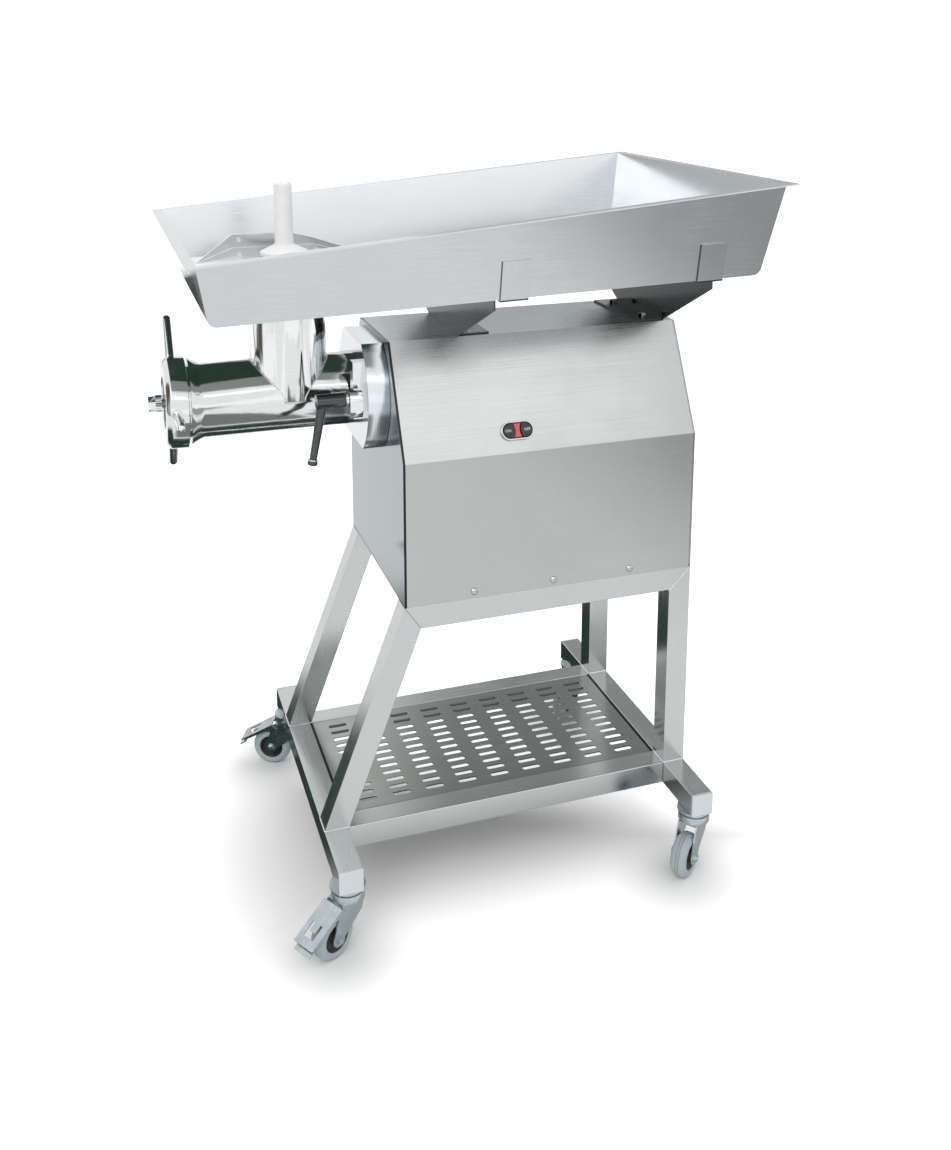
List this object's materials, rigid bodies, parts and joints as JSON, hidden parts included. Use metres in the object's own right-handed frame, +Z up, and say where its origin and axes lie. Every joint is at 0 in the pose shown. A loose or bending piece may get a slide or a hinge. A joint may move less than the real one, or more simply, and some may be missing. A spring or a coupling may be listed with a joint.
{
  "type": "meat grinder",
  "caption": "Floor-standing electric meat grinder: castered tube stand with shelf, sloped motor cabinet, clamped barrel head with ring nut, feed pan with guard, pusher.",
  "frame": {"origin": "middle of the bounding box on the floor", "axes": "+Z up from the floor, +X from the head outlet towards the cabinet and the high end of the pan, -Y the side with the switch and clamp lever"},
  "size_m": [0.984, 0.6592, 1.2075],
  "materials": {
    "stainless_tube": "fine satin stainless steel",
    "shelf_steel": "dark brushed stainless steel",
    "cover_steel": "warm light satin stainless steel",
    "polished_wall": "polished stainless steel",
    "bright_steel": "bright polished steel",
    "turned_steel": "turned stainless steel",
    "polished_head": "mirror polished stainless steel",
    "tool_steel": "ground tool steel",
    "pan_steel": "horizontally brushed stainless sheet",
    "zinc_steel": "bright zinc plated pressed steel",
    "wheel_centre": "black polypropylene",
    "tyre_rubber": "light blue-grey non-marking rubber",
    "black_plastic": "black plastic",
    "button_plastic": "dark grey plastic",
    "red_lens": "clear red lens",
    "lever_enamel": "gloss black enamel",
    "white_nylon": "white nylon",
    "motor_paint": "grey-blue enamel on ribbed aluminium",
    "cast_aluminium": "cast aluminium",
    "gear_steel": "machined steel",
    "bearing_steel": "ground bearing steel",
    "seal_rubber": "black nitrile rubber"
  },
  "bodies": {
    "stand": {"cross_rails": "stainless_tube", "base_long_rails": "stainless_tube", "legs": "stainless_tube", "top_long_rails": "stainless_tube", "top_cross_rails": "stainless_tube", "rail_end_plates": "stainless_tube", "shelf_plate": "shelf_steel", "cabinet_cover": "cover_steel", "left_wall": "polished_wall", "right_wall": "polished_wall", "base_plate": "cover_steel", "cover_screws": "bright_steel", "cable_gland": "black_plastic", "motor_body": "motor_paint", "gearbox_case": "cast_aluminium", "shaft_bearings": "bearing_steel", "oil_seal": "seal_rubber", "control_box": "black_plastic", "switch_bezel": "bright_steel", "switch_body": "black_plastic", "pilot_lens": "red_lens", "mount_disc": "turned_steel", "clamp_block": "bright_steel", "grinding_head": "polished_head", "pan_brackets": "pan_steel", "bracket_bolts": "bright_steel", "caster_tops": "zinc_steel"},
    "drive": {"output_shaft": "gear_steel", "output_gear": "gear_steel", "auger": "polished_head", "auger_pin": "tool_steel", "knife": "tool_steel", "stud_nut": "bright_steel"},
    "middle_shaft": {"middle_gear": "gear_steel"},
    "motor_shaft": {"motor_rotor": "gear_steel", "motor_fan": "black_plastic", "motor_pinion": "gear_steel"},
    "plate": {"hole_plate": "tool_steel"},
    "nut": {"ring_nut": "polished_head", "nut_handles": "polished_head"},
    "pan": {"feed_pan": "pan_steel", "pan_guard": "pan_steel"},
    "pusher": {"pusher": "white_nylon"},
    "lever": {"clamp_lever": "lever_enamel"},
    "start": {"start_button": "button_plastic"},
    "stop": {"stop_button": "button_plastic"},
    "front_left_swivel": {"front_left_fork": "zinc_steel"},
    "front_left_wheel": {"front_left_hub": "wheel_centre", "front_left_tyre": "tyre_rubber"},
    "front_right_swivel": {"front_right_fork": "zinc_steel"},
    "front_right_wheel": {"front_right_hub": "wheel_centre", "front_right_tyre": "tyre_rubber"},
    "back_left_swivel": {"back_left_fork": "zinc_steel"},
    "back_left_wheel": {"back_left_hub": "wheel_centre", "back_left_tyre": "tyre_rubber"},
    "back_right_swivel": {"back_right_fork": "zinc_steel"},
    "back_right_wheel": {"back_right_hub": "wheel_centre", "back_right_tyre": "tyre_rubber"},
    "front_left_brake": {"front_left_pedal": "zinc_steel"},
    "back_left_brake": {"back_left_pedal": "zinc_steel"}
  },
  "joints": [
    {"name": "drive_spin", "type": "hinge", "parent": "stand", "child": "drive", "pos_m": [-0.259, 0.00262, 0.851], "axis": [1, 0, 0], "continuous": true},
    {"name": "middle_spin", "type": "hinge", "parent": "stand", "child": "middle_shaft", "pos_m": [-0.059, 0.00262, 0.755], "axis": [1, 0, 0], "continuous": true},
    {"name": "motor_spin", "type": "hinge", "parent": "stand", "child": "motor_shaft", "pos_m": [0.141, 0.00262, 0.68], "axis": [1, 0, 0], "continuous": true},
    {"name": "plate_slide", "type": "slide", "parent": "stand", "child": "plate", "axis": [-1, 0, 0], "range_m": [0, 0.008]},
    {"name": "ring_nut_turn", "type": "hinge", "parent": "plate", "child": "nut", "pos_m": [-0.449, 0.00262, 0.851], "axis": [1, 0, 0], "range_deg": [0, 720]},
    {"name": "pan_lift", "type": "slide", "parent": "stand", "child": "pan", "axis": [0, 0, 1], "range_m": [0, 0.1]},
    {"name": "pusher_lift", "type": "slide", "parent": "pan", "child": "pusher", "axis": [0, 0, 1], "range_m": [0, 0.2]},
    {"name": "clamp_swing", "type": "hinge", "parent": "stand", "child": "lever", "pos_m": [-0.209, -0.09738, 0.859], "axis": [1, 0, 0], "range_deg": [-180, 20]},
    {"name": "start_press", "type": "slide", "parent": "stand", "child": "start", "axis": [0, 0.8964, -0.4432], "range_m": [0, 0.0025], "stiffness_N_per_m": 300, "springref_m": -0.003},
    {"name": "stop_press", "type": "slide", "parent": "stand", "child": "stop", "axis": [0, 0.8964, -0.4432], "range_m": [0, 0.0025], "stiffness_N_per_m": 300, "springref_m": -0.003},
    {"name": "front_left_swivel_turn", "type": "hinge", "parent": "stand", "child": "front_left_swivel", "pos_m": [-0.239, -0.26338, 0.09], "axis": [0, 0, 1], "continuous": true},
    {"name": "front_left_roll", "type": "hinge", "parent": "front_left_swivel", "child": "front_left_wheel", "pos_m": [-0.27018, -0.28138, 0.0375], "axis": [0.5, -0.866, 0], "continuous": true},
    {"name": "front_left_brake_press", "type": "hinge", "parent": "front_left_swivel", "child": "front_left_brake", "pos_m": [-0.26325, -0.27738, 0.082], "axis": [0.5, -0.866, 0], "range_deg": [0, 6]},
    {"name": "front_right_swivel_turn", "type": "hinge", "parent": "stand", "child": "front_right_swivel", "pos_m": [0.381, -0.26338, 0.09], "axis": [0, 0, 1], "continuous": true},
    {"name": "front_right_roll", "type": "hinge", "parent": "front_right_swivel", "child": "front_right_wheel", "pos_m": [0.35302, -0.28604, 0.0375], "axis": [0.6293, -0.7771, 0], "continuous": true},
    {"name": "back_left_swivel_turn", "type": "hinge", "parent": "stand", "child": "back_left_swivel", "pos_m": [-0.239, 0.26862, 0.09], "axis": [0, 0, 1], "continuous": true},
    {"name": "back_left_roll", "type": "hinge", "parent": "back_left_swivel", "child": "back_left_wheel", "pos_m": [-0.27136, 0.2844, 0.0375], "axis": [-0.4384, -0.8988, 0], "continuous": true},
    {"name": "back_left_brake_press", "type": "hinge", "parent": "back_left_swivel", "child": "back_left_brake", "pos_m": [-0.26417, 0.28089, 0.082], "axis": [-0.4384, -0.8988, 0], "range_deg": [0, 6]},
    {"name": "back_right_swivel_turn", "type": "hinge", "parent": "stand", "child": "back_right_swivel", "pos_m": [0.381, 0.26862, 0.09], "axis": [0, 0, 1], "continuous": true},
    {"name": "back_right_roll", "type": "hinge", "parent": "back_right_swivel", "child": "back_right_wheel", "pos_m": [0.35225, 0.24695, 0.0375], "axis": [0.6018, -0.7986, 0], "continuous": true}
  ],
  "couplings": [
    {"joint": "middle_spin", "follows": "drive_spin", "ratio": -3},
    {"joint": "motor_spin", "follows": "drive_spin", "ratio": 9},
    {"joint": "plate_slide", "follows": "ring_nut_turn", "m_per_rad": 0.00063662}
  ]
}
